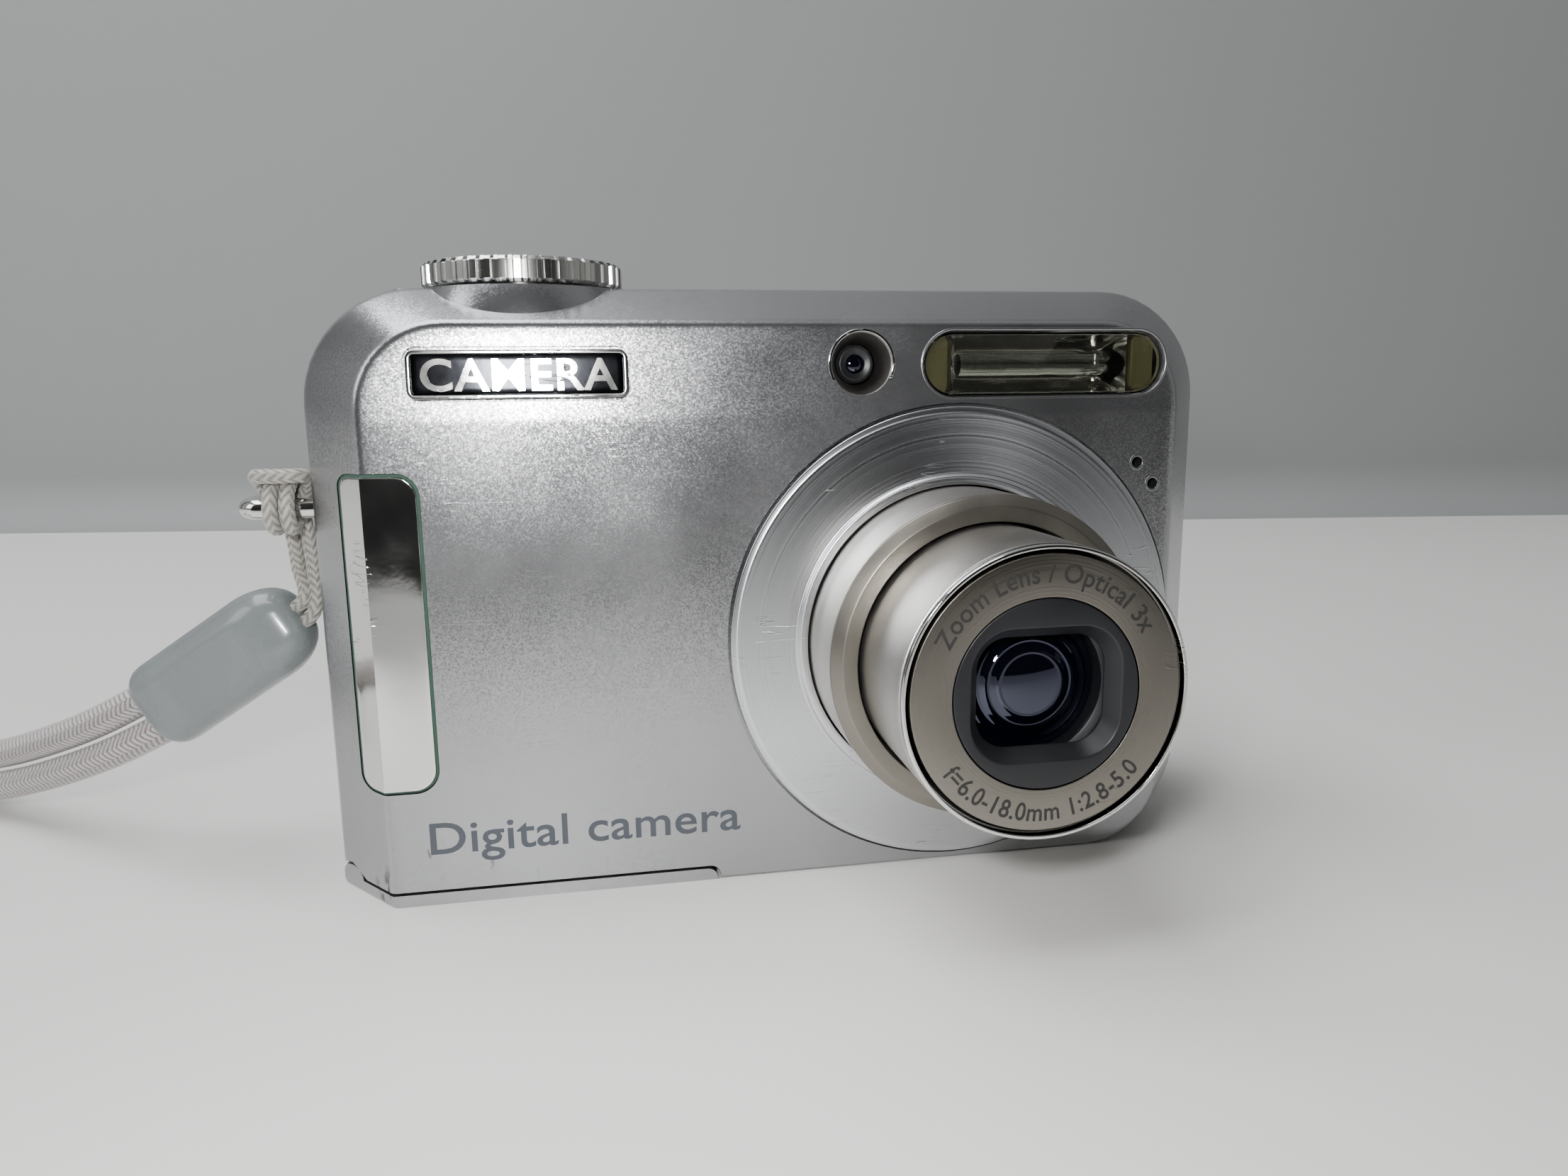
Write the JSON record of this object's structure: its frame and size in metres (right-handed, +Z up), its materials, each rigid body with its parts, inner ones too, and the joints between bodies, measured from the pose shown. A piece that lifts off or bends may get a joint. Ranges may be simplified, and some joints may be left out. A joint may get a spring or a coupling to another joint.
{
  "type": "compact digital camera",
  "caption": "Pocket camera with an extending zoom lens, mode dial, flash, rear screen and keys, battery door and a corded wrist strap.",
  "frame": {"origin": "middle of the flat base of the body, halfway between its front and rear faces", "axes": "+X towards the flash side, -Y the way the lens looks, +Z up"},
  "size_m": [0.1727, 0.07, 0.062],
  "materials": {
    "silver_paint": "satin",
    "rear_plastic": "satin",
    "spun_aluminium": "brushed",
    "satin_barrel": "satin",
    "chrome": "polished",
    "dark_ring": "brushed",
    "black_plastic": "matte",
    "clear_plastic": "gloss",
    "coated_glass": "gloss",
    "green_board": "satin",
    "brass": "satin",
    "cell_jacket": "gloss",
    "steel": "brushed",
    "nylon": "satin",
    "cord_braid": "matte",
    "bead_plastic": "gloss"
  },
  "bodies": {
    "camera_body": {"af_lamp_housing": "black_plastic", "af_lamp_lens": "clear_plastic", "badge_plate": "chrome", "base_screw_1": "chrome", "base_screw_2": "chrome", "battery_1": "cell_jacket", "battery_2": "cell_jacket", "battery_cradle": "black_plastic", "button_board": "green_board", "card_slot": "steel", "door_hinge_pin": "chrome", "flash_capacitor": "cell_jacket", "flash_reflector": "chrome", "flash_tube": "coated_glass", "flash_window": "clear_plastic", "front_cover": "silver_paint", "grip_trim": "chrome", "image_sensor": "coated_glass", "jack_socket": "steel", "lcd_panel": "black_plastic", "lcd_window": "coated_glass", "lens_base": "black_plastic", "lens_ring": "spun_aluminium", "main_board": "green_board", "memory_card": "black_plastic", "rear_cover": "rear_plastic", "strap_bead": "bead_plastic", "strap_cord": "cord_braid", "strap_loop": "cord_braid", "strap_lug": "chrome", "top_cover": "silver_paint", "tripod_socket": "brass", "zoom_motor": "steel"},
    "outer_barrel": {"barrel_outer": "satin_barrel"},
    "inner_barrel": {"barrel_inner": "satin_barrel", "name_ring": "dark_ring", "barrier_cap": "black_plastic", "lens_cell": "black_plastic", "front_lens": "coated_glass"},
    "blade_upper": {"barrier_blade_upper": "black_plastic"},
    "blade_lower": {"barrier_blade_lower": "black_plastic"},
    "drive_cam": {"cam_ring": "black_plastic"},
    "drive_idler": {"idler_gear": "nylon"},
    "drive_pinion": {"motor_pinion": "brass"},
    "focus_group": {"focus_carrier": "black_plastic", "focus_lens": "coated_glass"},
    "dial": {"mode_dial": "chrome"},
    "shutter": {"shutter_button": "chrome"},
    "power": {"power_button": "chrome"},
    "menu": {"menu_button": "satin_barrel"},
    "play": {"play_button": "satin_barrel"},
    "delete": {"delete_button": "satin_barrel"},
    "centre": {"centre_button": "satin_barrel"},
    "gimbal": {"pad_gimbal": "nylon"},
    "pad": {"control_pad": "satin_barrel"},
    "rocker": {"zoom_rocker": "satin_barrel"},
    "door": {"battery_door": "silver_paint", "contact_strip": "brass"},
    "latch": {"door_latch": "rear_plastic"},
    "jack_flap": {"jack_cover": "rear_plastic"}
  },
  "joints": [
    {"name": "zoom", "type": "slide", "parent": "camera_body", "child": "outer_barrel", "axis": [0, 1, 0], "range_m": [0, 0.0098]},
    {"name": "zoom_inner", "type": "slide", "parent": "outer_barrel", "child": "inner_barrel", "axis": [0, 1, 0], "range_m": [0, 0.0117]},
    {"name": "barrier_upper", "type": "slide", "parent": "inner_barrel", "child": "blade_upper", "axis": [0, 0, -1], "range_m": [0, 0.0053]},
    {"name": "barrier_lower", "type": "slide", "parent": "inner_barrel", "child": "blade_lower", "axis": [0, 0, 1], "range_m": [0, 0.0053]},
    {"name": "cam_turn", "type": "hinge", "parent": "camera_body", "child": "drive_cam", "pos_m": [0.0165, 0, 0.024], "axis": [0, 1, 0], "range_deg": [0, 80.1]},
    {"name": "idler_turn", "type": "hinge", "parent": "camera_body", "child": "drive_idler", "pos_m": [0.03328, 0.002, 0.00992], "axis": [0, 1, 0], "range_deg": [-240.2, 0]},
    {"name": "pinion_turn", "type": "hinge", "parent": "camera_body", "child": "drive_pinion", "pos_m": [0.0384, 0.002, 0.01129], "axis": [0, 1, 0], "range_deg": [0, 400.2]},
    {"name": "focus", "type": "slide", "parent": "camera_body", "child": "focus_group", "axis": [0, 1, 0], "range_m": [0, 0.0018]},
    {"name": "mode_turn", "type": "hinge", "parent": "camera_body", "child": "dial", "pos_m": [-0.025, 0, 0.0589], "axis": [0, 0, 1], "continuous": true},
    {"name": "shutter_press", "type": "slide", "parent": "camera_body", "child": "shutter", "axis": [0, 0, -1], "range_m": [0, 0.0009], "stiffness_N_per_m": 300},
    {"name": "power_press", "type": "slide", "parent": "camera_body", "child": "power", "axis": [0, 0, -1], "range_m": [0, 0.0005], "stiffness_N_per_m": 400},
    {"name": "menu_press", "type": "slide", "parent": "camera_body", "child": "menu", "axis": [0, -1, 0], "range_m": [0, 0.0004], "stiffness_N_per_m": 400},
    {"name": "play_press", "type": "slide", "parent": "camera_body", "child": "play", "axis": [0, -1, 0], "range_m": [0, 0.0004], "stiffness_N_per_m": 400},
    {"name": "delete_press", "type": "slide", "parent": "camera_body", "child": "delete", "axis": [0, -1, 0], "range_m": [0, 0.0004], "stiffness_N_per_m": 400},
    {"name": "centre_press", "type": "slide", "parent": "camera_body", "child": "centre", "axis": [0, -1, 0], "range_m": [0, 0.0004], "stiffness_N_per_m": 400},
    {"name": "pad_up_down", "type": "hinge", "parent": "camera_body", "child": "gimbal", "pos_m": [-0.0265, 0.0134, 0.025], "axis": [1, 0, 0], "range_deg": [-2, 2], "stiffness_Nm_per_rad": 0.05},
    {"name": "pad_left_right", "type": "hinge", "parent": "gimbal", "child": "pad", "pos_m": [-0.0265, 0.0134, 0.025], "axis": [0, 0, 1], "range_deg": [-2, 2], "stiffness_Nm_per_rad": 0.05},
    {"name": "zoom_rocker_tilt", "type": "hinge", "parent": "camera_body", "child": "rocker", "pos_m": [-0.03, 0.013, 0.0485], "axis": [0, 0, 1], "range_deg": [-4, 4], "stiffness_Nm_per_rad": 0.03},
    {"name": "door_open", "type": "hinge", "parent": "camera_body", "child": "door", "pos_m": [-0.0443, 0.0021, 0.0012], "axis": [0, 1, 0], "range_deg": [0, 95]},
    {"name": "latch_slide", "type": "slide", "parent": "door", "child": "latch", "axis": [-1, 0, 0], "range_m": [0, 0.002]},
    {"name": "jack_open", "type": "hinge", "parent": "camera_body", "child": "jack_flap", "pos_m": [0.0447, 0.001, 0.023], "axis": [0, 0, -1], "range_deg": [0, 100]}
  ],
  "couplings": [
    {"joint": "zoom_inner", "follows": "zoom", "ratio": 1.1936},
    {"joint": "cam_turn", "follows": "zoom", "rad_per_m": 142.48},
    {"joint": "idler_turn", "follows": "zoom", "rad_per_m": -427.43},
    {"joint": "pinion_turn", "follows": "zoom", "rad_per_m": 712.38},
    {"joint": "barrier_lower", "follows": "barrier_upper", "ratio": 1}
  ]
}
